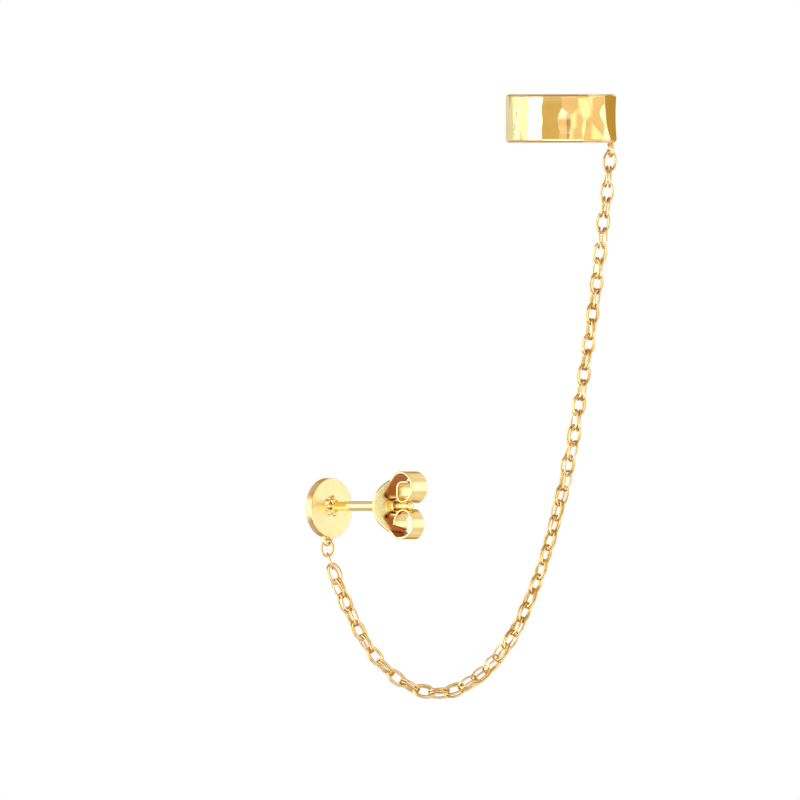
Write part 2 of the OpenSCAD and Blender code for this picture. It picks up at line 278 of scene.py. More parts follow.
# The sheet's painted light and painted shade: the pale tone painted on the plate as light, the deep tone
# painted beside the scrolls' feet as shade, and how much rougher and less metallic the painted light is
SHEET_PAINTED_LIGHT = (1.0, 0.94, 0.5)
SHEET_PAINTED_SHADE = (0.4, 0.1, 0.012)
PAINTED_LIGHT_ROUGH = 0.3
PAINTED_LIGHT_DULL = 0.65

# The studio as a polished surface sees it: a dim warm room with soft screens. A screen has its azimuths in
# degrees from -Y towards +X, the sines of its elevations, the softness of its edges, and the light it adds
ROOM = (0.56, 0.39, 0.1)
SCREENS = [
    ((86, 122), (-0.72, 0.72), (5, 0.1), (0.4, 0.6, 0.9)),
    ((86, 122), (-0.25, 0.35), (5, 0.12), (0.35, 0.75, 1.4)),
    ((3, 84), (-0.65, 0.65), (3, 0.15), (0.48, 0.5, 0.66)),
    ((34, 68), (-0.13, 0.11), (3, 0.04), (0.15, 0.65, 0.8)),
    ((-26, 26), (0.17, 0.7), (8, 0.12), (0.1, 0.14, 0.4)),
    ((-26, 26), (-0.7, -0.17), (8, 0.12), (0.3, 0.6, 1.4)),
    ((-45, 60), (-0.8, -0.36), (12, 0.08), (0.6, 0.9, 1.6)),
    ((124, 158), (0.35, 0.8), (8, 0.15), (0.45, 0.6, 1.0)),
    ((124, 158), (-0.8, -0.35), (8, 0.15), (0.45, 0.6, 1.0)),
    ((-78, -40), (-0.42, 0.42), (3, 0.12), (3.0, 3.2, 5.0)),
    ((-106, -80), (-0.25, 0.25), (5, 0.4), (0.8, 1.2, 1.9)),
    ((-150, -108), (-0.25, 0.25), (8, 0.2), (0.32, 0.55, 0.85)),
    ((-150, -108), (0.4, 0.8), (10, 0.2), (0.1, 0.2, 0.65)),
    ((-150, -108), (-0.8, -0.4), (10, 0.2), (0.1, 0.2, 0.65)),
    ((-37, -4), (-0.65, 0.65), (2.5, 0.15), (0.22, 0.26, 0.28)),
]
# The white world's strength, and what it adds where it lights a surface that isn't glossy
WHITE = 1.0
SOFT_EXTRA = 0.8

EARRING = "earring"
BACK = "back"
# The point attribute that carries the sheet's painted light (above 0) and painted shade (below 0)
PAINTED_LIGHT_AND_SHADE = "shade"


def wave(*numbers):
    """A steady stand-in for chance, from -1 to 1."""
    return math.sin(sum(n * f for n, f in zip(numbers, [12.9898, 78.233, 37.719])) + 1.3)


def smooth(x):
    """A soft step from 0 to 1."""
    x = min(1.0, max(0.0, x))
    return x * x * (3 - 2 * x)


def fade_in(x, start, run):
    """A soft rise from 0 to 1 that begins at start."""
    return smooth((x - start) / run)


def fade_out(x, end, run):
    """A soft fall from 1 to 0 that is over at end."""
    return smooth((end - x) / run)


def rows_of(points):
    return np.asarray(points, float)


def mesh_piece(name, points, faces):
    """A smooth-shaded object from points in millimetres, with its faces turned outwards."""
    mesh = bpy.data.meshes.new(name)
    mesh.from_pydata((rows_of(points) * MM).tolist(), [], [list(f) for f in faces])
    shape = bmesh.new()
    shape.from_mesh(mesh)
    bmesh.ops.recalc_face_normals(shape, faces=shape.faces)
    shape.to_mesh(mesh)
    shape.free()
    mesh.shade_smooth()
    obj = bpy.data.objects.new(name, mesh)
    bpy.context.scene.collection.objects.link(obj)
    return obj


def grid_faces(rows, columns, first=0, close_rows=False, close_columns=True):
    """Quads of a grid of points, kept row by row."""
    faces = []
    for i in range(rows if close_rows else rows - 1):
        for j in range(columns if close_columns else columns - 1):
            here, beyond = first + i * columns, first + (i + 1) % rows * columns
            j2 = (j + 1) % columns
            faces.append([here + j, here + j2, beyond + j2, beyond + j])
    return faces


def tube(rings, closed):
    """Points and faces of a tube through rings of points, capped unless it is closed on itself."""
    rows, columns = len(rings), len(rings[0])
    points = np.concatenate(rings)
    faces = grid_faces(rows, columns, close_rows=closed)
    if not closed:
        faces.append(list(range(columns))[::-1])
        faces.append([(rows - 1) * columns + j for j in range(columns)])
    return points, faces


def on_post(a, u, z):
    """A point of the post's own frame: along it from the lobe's middle, aside, and up."""
    return np.multiply.outer(a, ALONG) + np.multiply.outer(u, ASIDE) + np.multiply.outer(z, UP)


def lathe(profile, start):
    """A closed turned body along the post, from rows of a place along it, a radius and a drop below it."""
    turns = np.linspace(0, 2 * math.pi, LATHE_STEPS, endpoint=False)
    rings = []
    for a, r, drop in profile:
        radius = np.full(LATHE_STEPS, r)
        aside, up = radius * np.cos(turns), radius * np.sin(turns) - drop
        rings.append(on_post(np.full(LATHE_STEPS, start + a), aside, up))
    return tube(rings, closed=False)


def ring(middle, axis, outside_d, wire, around=96, across=24):
    """A round wire ring."""
    axis = rows_of(axis) / np.linalg.norm(axis)
    side = np.cross(axis, UP)
    side = side / np.linalg.norm(side)
    up = np.cross(side, axis)
    rings = []
    for turn in np.linspace(0, 2 * math.pi, around, endpoint=False):
        out = math.cos(turn) * side + math.sin(turn) * up
        centre = rows_of(middle) + (outside_d - wire) / 2 * out
        cross = np.linspace(0, 2 * math.pi, across, endpoint=False)
        rings.append(centre + wire / 2 * (np.outer(np.cos(cross), out) + np.outer(np.sin(cross), axis)))
    return tube(rings, closed=True)


def blob(middle, sizes, axes, rings=16, segments=24):
    """A drop of solder: an ellipsoid with its half-sizes along three axes."""
    axes = rows_of(axes)
    points = []
    for i in range(1, rings):
        lift = math.pi * i / rings - math.pi / 2
        for turn in np.linspace(0, 2 * math.pi, segments, endpoint=False):
            ball = rows_of([math.cos(lift) * math.cos(turn), math.cos(lift) * math.sin(turn), math.sin(lift)])
            points.append(rows_of(middle) + (ball * rows_of(sizes)) @ axes)
    faces = grid_faces(rings - 1, segments)
    faces.append(list(range(segments))[::-1])
    faces.append([(rings - 2) * segments + j for j in range(segments)])
    return points, faces


def cut_or_join(piece, others, operation):
    """Joins other closed bodies to a piece, or cuts them from it, and applies the result."""
    for points, faces in others:
        tool = mesh_piece(piece.name + "_tool", points, faces)
        modifier = piece.modifiers.new("solid", "BOOLEAN")
        modifier.operation = operation
        modifier.solver = "EXACT"
        modifier.object = tool
        bpy.context.view_layer.update()
        solid = bpy.data.meshes.new_from_object(piece.evaluated_get(bpy.context.evaluated_depsgraph_get()))
        piece.modifiers.clear()
        piece.data = solid
        bpy.data.objects.remove(tool)
    piece.data.name = piece.name
    return piece


def sharpen(piece, degrees):
    """Keeps edges that bend more than this crisp."""
    piece.data.shade_smooth()
    piece.data.set_sharp_from_angle(angle=math.radians(degrees))


def place(piece, body, slot, *nodes):
    """Puts a finished piece in the place of its solids."""
    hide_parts(*nodes)
    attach(piece, body)
    return piece


# Stud
def post_radius(a):
    """Radius of the post, with its tapered foot, friction grooves and round tip."""
    r = POST_D / 2
    from_tip = POST_L - a
    radius = min(r, FOOT_D / 2 + (r - FOOT_D / 2) * a / FOOT_TAPER)
    if from_tip < r:
        radius = min(radius, math.sqrt(max(0, r * r - (r - from_tip) ** 2)))
    for groove in GROOVES_FROM_TIP:
        off = abs(from_tip - groove)
        if off < GROOVE_R:
            radius = min(radius, r + GROOVE_R - GROOVE_DEPTH - math.sqrt(GROOVE_R ** 2 - off ** 2))
    return radius


def solder_height(radius, turns):
    """Height of the grainy solder over the disc's back, at one distance from the post's axis."""
    x, y = radius * np.cos(turns), radius * np.sin(turns)
    height = np.zeros(len(turns))
    for k in range(SOLDER_GRAINS):
        turn = GRAIN_TURN * k + GRAIN_STRAY * wave(k, 1)
        share = (k + 0.5) / SOLDER_GRAINS
        off = FOOT_D / 2 + SOLDER_START + SOLDER_SPREAD * share ** 0.8
        grain_r = SOLDER_GRAIN_R * (1 + GRAIN_VARIES * wave(k, 2))
        rise = SOLDER_RISE * (1 - share) ** 1.5 - SOLDER_FALL * share
        inside = grain_r ** 2 - (x - off * math.cos(turn)) ** 2 - (y - off * math.sin(turn)) ** 2
        height = np.where(inside > 0, np.maximum(height, rise + np.sqrt(np.maximum(inside, 0))), height)
    return height


def disc_rows():
    """Rows for the lathe from the disc's front, round its edge, to the solder on its back."""
    r, e = DISC_D / 2, DISC_EDGE_R
    flat_r = r - e - DISC_BAND
    quarter = [math.radians(turn) for turn in np.linspace(0, 90, 7)]
    rows = [(-DISC_T, DISC_CAP_R), (-DISC_T, r * 0.5), (-DISC_T, flat_r)]
    rows += [(-DISC_T + e - e * math.cos(turn), r - e + e * math.sin(turn)) for turn in quarter]
    rows += [(-e + e * math.sin(turn), r - e + e * math.cos(turn)) for turn in quarter]
    rows = [(*row, POST_RISE) for row in [*rows, (0, flat_r)]]
    for share in np.arange(1, 10) / 10:
        rows.append((0, flat_r * (1 - share) + SOLDER_R * share, POST_RISE * (1 - share)))
    return rows


def post_rows():
    """Rows for the lathe from the solder's edge, up over its grains and along the post to its tip."""
    turns = np.linspace(0, 2 * math.pi, LATHE_STEPS, endpoint=False)
    rows = [(solder_height(radius, turns), radius) for radius in np.linspace(SOLDER_R, FOOT_D / 2, 36)]
    top = rows[-1][0]
    for share in np.linspace(0, 1, 8)[1:]:
        a = top + (SOLDER_L - top) * share
        rows.append((a, rows_of([post_radius(x) for x in a])))
    near_tip = POST_L - max(GROOVES_FROM_TIP) - 2 * GROOVE_R
    places = np.concatenate([
        np.linspace(SOLDER_L, near_tip, 24)[1:],
        np.linspace(near_tip, POST_L - POST_D / 4, 70)[1:],
        POST_L - POST_D / 4 * (1 - np.sin(np.linspace(0, math.pi / 2, 14)[1:-1])),
    ])
    rows += [(a, post_radius(a)) for a in places]
    return [(*row, 0) for row in rows]


def make_stud():
    """The disc with its post and solder, and the eyelet under its edge."""
    start = -LOBE_GAP / 2
    stud = mesh_piece("polished_stud", *lathe(disc_rows() + post_rows(), start))

    reach = DISC_D / 2 + POST_RISE
    eye_along = start - DISC_T + EYE_INSET + EYE_WIRE / 2
    eye_middle = on_post(eye_along, 0, -reach - EYE_DROP + EYE_D / 2)
    joins = [ring(eye_middle, ALONG, EYE_D, EYE_WIRE)]
    along, aside, up = DROP_REACH
    drops = EYE_DROPS + [(aside * wave(k, 5), up * wave(k, 6), *SMALL_DROP) for k in range(SMALL_DROPS)]
    for side, rise, *sizes in drops:
        drop = on_post(eye_along + along * wave(side, 3), side, -reach + DROP_SINK + rise)
        joins.append(blob(drop, sizes, [ALONG, ASIDE, UP]))
    cut_or_join(stud, joins, "UNION")
    sharpen(stud, 40)
    return stud


# Butterfly back
def bent_path(bends):
    """Length so far, place and heading along the sheet, from the plate's middle to a scroll's end."""
    here, heading, length = rows_of([0, 0]), 90.0, 0.0
    stations = [(length, *here, heading)]
    for run, turn, radius in bends:
        ahead = rows_of([math.cos(math.radians(heading)), math.sin(math.radians(heading))])
        for _ in range(8 if run else 0):
            here = here + ahead * run / 8
            length += run / 8
            stations.append((length, *here, heading))
        steps = max(2, math.ceil(turn / 2.5))
        step = 2 * radius * math.sin(math.radians(turn / steps / 2))
        for _ in range(steps):
            middle = math.radians(heading - turn / steps / 2)
            here = here + step * rows_of([math.cos(middle), math.sin(middle)])
            heading -= turn / steps
            length += step
            stations.append((length, *here, heading))
    return rows_of(stations)


def scroll_bends():
    """Rows of run, turn and radius for the upper and the lower half of the sheet."""
    strip_end_z = (DISH_R + STRIP_RUN) * math.sin(math.radians(DISH_TURN))
    post_side_z = POST_D / 2 + SLIDE_GAP - SCROLL_BITE + SHEET_T / 2
    upper_side_z = strip_end_z - UPPER_R * math.cos(math.radians(DISH_TURN))
    lower_side_z = strip_end_z + LOWER_BEND_R * (1 - math.cos(math.radians(DISH_TURN))) - LOWER_R
    upper = [
        (0, DISH_TURN, DISH_R),
        (STRIP_RUN, 180 - DISH_TURN, UPPER_R),
        (0, 90, upper_side_z - post_side_z),
        (0, 90, UPPER_CURL_R),
        (UPPER_SIDE, 90, UPPER_CURL_R),
        (UPPER_LIP, UPPER_LIP_TURN, UPPER_R),
    ]
    lower = [
        (0, DISH_TURN, DISH_R),
        (STRIP_RUN, 90 - DISH_TURN, LOWER_BEND_R),
        (LOWER_FOOT, 90, LOWER_R),
        (0, 90, lower_side_z - post_side_z),
        (0, 90, LOWER_CURL_R),
        (0, LOWER_LIP_TURN, LOWER_LIP_R),
    ]
    return upper, lower


def sheet_half_width(s, z):
    """Half the width of the plate and of the narrower scrolls; s is below 0 on the upper one."""
    taper_start = PLATE_END + math.radians(90 - DISH_TURN) * LOWER_BEND_R
    half = SCROLL_W / 2 - (SCROLL_W - LOWER_END_W) / 2 * fade_in(s, taper_start, TAPER_RUN)
    if abs(s) < PLATE_END and abs(z) < PLATE_H / 2:
        half = max(half, PLATE_W / 2 * math.sqrt(1 - (2 * z / PLATE_H) ** 2))
    return half


def sheet_painted_light_and_shade(s, z, u, t):
    """Painted light and shade: 1 on the plate's inner side, where pale light is painted, and -1 beside the
    scrolls' feet, where deep shade is painted.
    """
    if t > SHADE_SKIN - SHEET_T / 2:
        return 0
    beyond = abs(s) - PLATE_END
    shade_end = UPPER_PAINTED_SHADE_END if s < 0 else LOWER_PAINTED_SHADE_END
    # The painted shade in the recesses beside the scrolls' feet
    deep = fade_out(abs(u), *PAINTED_SHADE_ASIDE) * fade_in(abs(z), *PAINTED_SHADE_RISE)
    deep *= 1 - fade_in(beyond, shade_end, PAINTED_SHADE_FADE)
    return (1 - fade_in(beyond, *PAINTED_LIGHT_END)) * (1 - deep) - deep


def rounded_section(half_w, half_t, edge_r, steps=4, between=12):
    """Outline of a flat strip with rounded edges, and points between them on both flat sides."""
    outline = []
    for corner, (sw, st) in enumerate([(1, 1), (-1, 1), (-1, -1), (1, -1)]):
        for k in range(steps + 1):
            turn = math.radians(90 * corner + 90 * k / steps)
            outline.append([sw * (half_w - edge_r) + edge_r * math.cos(turn),
                            st * (half_t - edge_r) + edge_r * math.sin(turn)])
        if corner in (0, 2):
            flat = sw * (half_w - edge_r)
            outline += [[flat * (1 - 2 * k / between), st * half_t] for k in range(1, between)]
    return rows_of(outline)


def sheet_path():
    """The whole sheet as one path: length, place, and the direction square to the sheet."""
    upper, lower = (bent_path(bends) for bends in scroll_bends())
    lower = lower * [1, 1, -1, -1]
    lengths = np.concatenate([-upper[::-1, 0], lower[1:, 0]])
    places = np.concatenate([upper[::-1, 1:3], lower[1:, 1:3]])
    turns = np.radians(np.concatenate([upper[::-1, 3], lower[1:, 3] + 180]))
    return lengths, places, np.stack([-np.sin(turns), np.cos(turns)], axis=1)


def make_sheet():
    """The bent sheet, with its painted light and shade kept on its points."""
    lengths, places, across = sheet_path()
    rings, painted_shares = [], []
    for s, (_, z) in zip(lengths, places):
        half = sheet_half_width(s, z)
        points = []
        for u, t in rounded_section(half, SHEET_T / 2, SHEET_EDGE_R):
            slant = LOWER_SLANT * smooth((s - lengths[-1] + SLANT_RUN) / SLANT_RUN) * (1 - u / half) / 2
            at = [np.interp(s - slant, lengths, values) for values in (*places.T, *across.T)]
            point = rows_of(at[:2]) + t * rows_of(at[2:]) / math.hypot(*at[2:])
            if at[0] > COLLAR_H:
                hug = SCROLL_HUG * fade_out(abs(at[1]), *HUG_RISE) * fade_in(abs(u), *HUG_ASIDE)
                point[1] -= math.copysign(hug, at[1])
            points.append(on_post(LOBE_GAP / 2 + point[0], u, point[1]))
            painted_shares.append(sheet_painted_light_and_shade(s, z, u, t))
        rings.append(rows_of(points))
    sheet = mesh_piece("butterfly_clutch", *tube(rings, closed=False))
    sheet.data.attributes.new(PAINTED_LIGHT_AND_SHADE, "FLOAT", "POINT").data.foreach_set("value", painted_shares)
    return sheet


def collar_rows():
    """Rows for the lathe of the collar, flared where it meets the plate, with a round rim."""
    r, rim = COLLAR_D / 2, COLLAR_RIM_R
    rows = [(-COLLAR_BITE, COLLAR_CORE_R), (-COLLAR_BITE, r + COLLAR_FLARE)]
    for turn in (math.radians(t) for t in np.linspace(0, 90, 8)):
        rows.append((COLLAR_FLARE_H + COLLAR_FLARE * (1 - math.cos(turn)),
                     r + COLLAR_FLARE * (1 - math.sin(turn))))
    for turn in (math.radians(t) for t in np.linspace(0, 180, 13)):
        rows.append((COLLAR_H - rim + rim * math.sin(turn), r - rim + rim * math.cos(turn)))
    rows.append((COLLAR_H - rim, COLLAR_CORE_R))
    return [(*row, 0) for row in rows]


def make_back():
    """The butterfly back: the sheet with its collar, and the post's bore through both."""
    back = make_sheet()
    bore = lathe([(end, POST_D / 2 + SLIDE_GAP, 0) for end in BORE_SPAN], LOBE_GAP / 2)
    cut_or_join(back, [lathe(collar_rows(), LOBE_GAP / 2)], "UNION")
    cut_or_join(back, [bore], "DIFFERENCE")
    sharpen(back, 35)
    return back


# Chain
def superellipse(length, width, wire):
    """A link's centre curve in its own plane, and the outward direction at each point."""
    turns = np.linspace(0, 2 * math.pi, LINK_STEPS, endpoint=False)
    h, w = (length - wire) / 2, (width - wire) / 2
    points = np.stack([
        h * np.sign(np.cos(turns)) * np.abs(np.cos(turns)) ** (2 / LINK_POWER),
        w * np.sign(np.sin(turns)) * np.abs(np.sin(turns)) ** (2 / LINK_POWER),
    ], axis=1)
    run = np.roll(points, -1, axis=0) - np.roll(points, 1, axis=0)
    out = np.stack([run[:, 1], -run[:, 0]], axis=1)
    return points, out / np.linalg.norm(out, axis=1, keepdims=True)


def link(length, width, wire, middle, along, wide, flat, seam, across=14):
    """One wire link, with a slightly swollen soldered seam at one place on its curve."""
    points, out = superellipse(length, width, wire)
    turns = np.linspace(0, 2 * math.pi, across, endpoint=False)
    rings = []
    for k, (p, o) in enumerate(zip(points, out)):
        near = min((k - seam) % LINK_STEPS, (seam - k) % LINK_STEPS)
        r = wire / 2 * (1 + SEAM_SWELL * math.exp(-(near / SEAM_REACH) ** 2))
        outwards = o[0] * along + o[1] * wide
        centre = middle + p[0] * along + p[1] * wide
        rings.append(centre + r * (np.outer(np.cos(turns), outwards) + np.outer(np.sin(turns), flat)))
    return tube(rings, closed=True)


def frame_of(angle, roll, splay=0):
    """Directions of a link: along it, across it in its own plane, and square to that plane."""
    angle, roll, splay = (math.radians(x) for x in (angle, roll, splay))
    along = rows_of([math.cos(angle), 0, math.sin(angle)])
    up = rows_of([-math.sin(angle), 0, math.cos(angle)])
    wide = math.cos(roll) * up + math.sin(roll) * rows_of([0, 1, 0])
    flat = -math.sin(roll) * up + math.cos(roll) * rows_of([0, 1, 0])
    tilted = math.cos(splay) * along + math.sin(splay) * flat
    return tilted, wide, math.cos(splay) * flat - math.sin(splay) * along


def box_mm(node):
    """The two corners of a node's solids."""
    low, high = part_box(node)
    return rows_of(low) / MM, rows_of(high) / MM


class Catenary:
    """The curve in which the chain hangs between its two ends."""

    def __init__(self, start, end, length, y):
        self.y = y
        span = rows_of(end) - rows_of(start)
        slack = math.sqrt(length ** 2 - span[1] ** 2) / span[0]
        low, high = 0.001, 12.0
        for _ in range(60):
            middle = (low + high) / 2
            if math.sinh(middle) / middle < slack:
                low = middle
            else:
                high = middle
        self.a = span[0] / (2 * low)
        tilt = span[1] / length
        self.low_x = (start[0] + end[0]) / 2 - self.a * math.atanh(tilt)
        self.start_s = self.a * math.sinh((start[0] - self.low_x) / self.a)
        self.low_z = start[1] - math.hypot(self.a, self.start_s)

    def point(self, s):
        """The point at a length from the start."""
        s += self.start_s
        x = self.low_x + self.a * math.asinh(s / self.a)
        return rows_of([x, self.y, self.low_z + math.hypot(self.a, s)])

    def angle(self, s):
        """The curve's rise there in degrees."""
        return math.degrees(math.atan2(s + self.start_s, self.a))


def fused(name, parts):
    """One piece from several closed bodies."""
    points, faces, first = [], [], 0
    for part_points, part_faces in parts:
        points.append(rows_of(part_points))
        faces += [[first + k for k in face] for face in part_faces]
        first += len(part_points)
    return mesh_piece(name, np.concatenate(points), faces)


def box_middle(node):
    """The middle of a node's solids."""
    low, high = box_mm(node)
    return (low + high) / 2


def chain_curve(end_middle, y):
    """The chain's own curve, from inside the end link to the last link."""
    lean = rows_of([math.sin(math.radians(END_LEAN)), -math.cos(math.radians(END_LEAN))])
    start = end_middle[[0, 2]] + lean * ((JUMP_L - SOLID_WIRE) / 2 - CHAIN_HOLD)
    loop_x = CUFF_MIDDLE[0] + CUFF_MIDDLE_R * math.cos(math.radians(LOOP_TURN))
    _, high = box_mm("chain_cuff_side")
    return Catenary(start, rows_of([loop_x, high[2] - LAST_TOP]), PAIRS * PITCH, y)


def pair_links(i, curve):
    """The two links of one pair, side by side and each a little out of line."""
    s = (i + 0.5) * PITCH
    roll = ROLL_FIRST + 90 * i + CHAIN_TWIST * i / PAIRS + PAIR_STRAY * wave(i, 2)
    open_half = LINK_OPEN / 4 * (1 + wave(i, 9))
    apart = PAIR_GAP / 2 + LINK_W / 2 * math.sin(math.radians(open_half))
    links = []
    for side in (-1, 1):
        hinged = roll + math.copysign(open_half, side * wave(i, 4))
        directions = frame_of(curve.angle(s), hinged, LINK_SPLAY * wave(i, side, 5))
        middle = curve.point(s) + side * apart * directions[2]
        seam = LINK_STEPS // 2 * (i % 2) + int(SEAM_STRAY * wave(i, side, 3))
        links.append(link(LINK_L, LINK_W, LINK_WIRE, middle, *directions, seam))
    return links


def make_chain():
    """The two single links and the two halves of the chain."""
    jump_middle, end_middle = box_middle("jump_link"), box_middle("end_link")
    jump_frame, end_frame = frame_of(90, 0), frame_of(END_LEAN - 90, END_ROLL)
    pieces = [
        fused("jump_ring", [link(JUMP_L, JUMP_W, JUMP_WIRE, jump_middle, *jump_frame, JUMP_SEAM)]),
        fused("end_ring", [link(JUMP_L, JUMP_W, JUMP_WIRE, end_middle, *end_frame, END_SEAM)]),
    ]
    curve = chain_curve(end_middle, float(jump_middle[1]))
    for name, pairs in [("fine_chain_stud_side", range(PAIRS // 2)),
                        ("fine_chain_cuff_side", range(PAIRS // 2, PAIRS))]:
        pieces.append(fused(name, [wire for i in pairs for wire in pair_links(i, curve)]))
    return pieces


# Cuff
def dents():
    """Turn, rise, depth, roundness and the two slopes of every hammer mark."""
    marks = [(turn, rise, DENT_DEPTH + extra, size, lean, tilt)
             for turn, rise, lean, tilt, extra, size in FRONT_DENTS]
    row_h = (CUFF_H - CUFF_EDGE_R / 2) / DENT_ROWS
    turn_stray, rise_stray, depth_stray, size_stray = DENT_STRAY
    for row in range(DENT_ROWS):
        for k, turn in enumerate(BACK_DENT_TURNS):
            rise = (row - (DENT_ROWS - 1) / 2 + rise_stray * wave(k, row)) * row_h
            depth = DENT_DEPTH * (1 + depth_stray * wave(row, k, 7))
            size = 1 + size_stray * wave(k, row, 3)
            marks.append((turn + turn_stray * wave(row, k), rise, depth, size,
                          DENT_LEAN * wave(row, k, 5), DENT_LEAN * wave(k, row, 8)))
    return [
        (math.radians(turn - 90), rise, depth, DENT_R * size,
         -math.tan(math.radians(lean)), math.tan(math.radians(tilt)))
        for turn, rise, depth, size, lean, tilt in marks
    ]


def hammer(turns, heights):
    """How deep the hammer marks lie under the band's outside: the deepest mark wins, over a narrow ridge."""
    total = np.ones((len(turns), len(heights)))
    for turn, rise, depth, mark_r, side_slope, up_slope in dents():
        side = CUFF_OUTER_R * ((turns - turn + math.pi) % (2 * math.pi) - math.pi)[:, None]
        up = (heights - rise)[None, :]
        hollow = depth - side ** 2 / (2 * CUFF_OUTER_R) - (side ** 2 + up ** 2) / (2 * mark_r)
        hollow = hollow - side * side_slope - up * up_slope
        total += np.exp(np.maximum(hollow, DENT_CLIP) / DENT_RIDGE)
    return DENT_RIDGE * np.log(total)


def band_edge(radius, edge_r, side, end, steps):
    """A rounded edge of the band's section: outside where side is 1, and above where end is 1."""
    return [
        (radius - side * edge_r + side * edge_r * math.sin(math.radians(t)),
         end * (CUFF_H / 2 - edge_r + edge_r * math.cos(math.radians(t))))
        for t in np.linspace(0, 90, steps)
    ]


def cuff_outline():
    """Radius and height round the band's section, up its outside and down its inside."""
    outer = CUFF_H / 2 - CUFF_EDGE_R
    inner = CUFF_H / 2 - CUFF_INNER_EDGE_R
    outline = band_edge(CUFF_OUTER_R, CUFF_EDGE_R, 1, -1, 10)
    outline += [(CUFF_OUTER_R, z) for z in np.linspace(-outer, outer, 64)[1:-1]]
    outline += band_edge(CUFF_OUTER_R, CUFF_EDGE_R, 1, 1, 10)[::-1]
    outline += band_edge(CUFF_HOLE_R, CUFF_INNER_EDGE_R, -1, 1, 5)
    outline += [(CUFF_HOLE_R, z) for z in np.linspace(inner, -inner, 12)[1:-1]]
    outline += band_edge(CUFF_HOLE_R, CUFF_INNER_EDGE_R, -1, -1, 5)[::-1]
    return rows_of(outline)


def make_cuff():
    """The open band with its hammer marks, and the wire loop under it."""
    outline = cuff_outline()
    open_turn = CUFF_GAP / CUFF_MIDDLE_R
    first = math.radians(GAP_TURN) + open_turn / 2
    turns = np.linspace(first, first + 2 * math.pi - open_turn, CUFF_STEPS)
    share = np.clip((outline[:, 0] - CUFF_OUTER_R + CUFF_EDGE_R) / CUFF_EDGE_R, 0, 1) ** 0.5
    radii = outline[:, 0] - share * hammer(turns, outline[:, 1])
    rings = [
        np.stack([
            CUFF_MIDDLE[0] + radius * math.cos(turn),
            CUFF_MIDDLE[1] + radius * math.sin(turn),
            CUFF_MIDDLE[2] + outline[:, 1],
        ], axis=1)
        for turn, radius in zip(turns, radii)
    ]
    cuff = mesh_piece("hammered_cuff", *tube(rings, closed=False))
    out = rows_of([math.cos(math.radians(LOOP_TURN)), math.sin(math.radians(LOOP_TURN)), 0])
    drop = rows_of([0, 0, -CUFF_H / 2 - LOOP_DROP + LOOP_D / 2])
    middle = CUFF_MIDDLE + CUFF_MIDDLE_R * out + drop
    cut_or_join(cuff, [ring(middle, out, LOOP_D, LOOP_WIRE)], "UNION")
    sharpen(cuff, 60)
    return cuff


# Materials
def add_node(tree, kind, inputs, **settings):
    """A new node with its settings and inputs."""
    made = tree.nodes.new(kind)
    for name, value in settings.items():
        setattr(made, name, value)
    join_inputs(tree, made, inputs)
    return made


def join_inputs(tree, node, inputs):
    """Joins a node's inputs to sockets, or sets them to plain values."""
    for key, value in inputs.items():
        if isinstance(value, bpy.types.NodeSocket):
            tree.links.new(value, node.inputs[key])
        else:
            node.inputs[key].default_value = value


def maths(tree, operation, *values, kind="ShaderNodeMath", **settings):
    """The outcome of a maths node over sockets and plain numbers."""
    return add_node(tree, kind, dict(enumerate(values)), operation=operation, **settings).outputs[0]


def gold(name, pale, deep, smoothest, roughest, grain, grain_h, brush=(1, 1, 1)):
    """Gold plate: its tone and its polish vary a little, over a fine grain."""
    material = bpy.data.materials.new(name)
    material.use_nodes = True
    tree = material.node_tree
    spot = add_node(tree, "ShaderNodeTexCoord", {}).outputs["Object"]
    clouds = add_node(tree, "ShaderNodeTexNoise", {"Vector": spot, "Scale": TONE_SCALE, "Detail": 3})
    tone = add_node(tree, "ShaderNodeValToRGB", {"Fac": clouds.outputs["Fac"]})
    for element, position, colour in zip(tone.color_ramp.elements, TONE_SPAN, (deep, pale)):
        element.position = position
        element.color = (*colour, 1)
    brushed = add_node(tree, "ShaderNodeMapping", {"Vector": spot, "Scale": brush}).outputs["Vector"]
    noise = add_node(tree, "ShaderNodeTexNoise", {"Vector": brushed, "Scale": grain, "Detail": 4})
    fine = noise.outputs["Fac"]
    polish = add_node(tree, "ShaderNodeMapRange", {
        "Value": fine, "From Min": GRAIN_SPAN[0], "From Max": GRAIN_SPAN[1],
        "To Min": smoothest, "To Max": roughest,
    })
    bump = add_node(tree, "ShaderNodeBump", {"Height": fine, "Strength": 1.0, "Distance": grain_h * MM})
    join_inputs(tree, tree.nodes["Principled BSDF"], {
        "Base Color": tone.outputs["Color"], "Metallic": 1.0,
        "Roughness": polish.outputs["Result"], "Normal": bump.outputs["Normal"],
    })
    return material


def paint_light_and_shade_on_gold(material, pale, deep):
    """Paints light and shade into a piece's gold from its painted light and shade attribute: paler and duller
    where light is painted, deeper where shade is painted.
    """
    tree = material.node_tree
    shader = tree.nodes["Principled BSDF"]
    shade = add_node(tree, "ShaderNodeAttribute", {}, attribute_name=PAINTED_LIGHT_AND_SHADE).outputs["Fac"]
    shares = [maths(tree, "MULTIPLY", shade, factor, use_clamp=True) for factor in (1, -1)]
    colour, polish = (shader.inputs[name].links[0].from_socket for name in ("Base Color", "Roughness"))
    for share, other in zip(shares, (pale, deep)):
        mix = add_node(tree, "ShaderNodeMixRGB", {"Fac": share, "Color1": colour, "Color2": (*other, 1)})
        colour = mix.outputs["Color"]
    join_inputs(tree, shader, {
        "Base Color": colour,
        "Roughness": maths(tree, "MULTIPLY_ADD", shares[0], PAINTED_LIGHT_ROUGH, polish),
        "Metallic": maths(tree, "MULTIPLY_ADD", shares[0], -PAINTED_LIGHT_DULL, 1.0),
    })


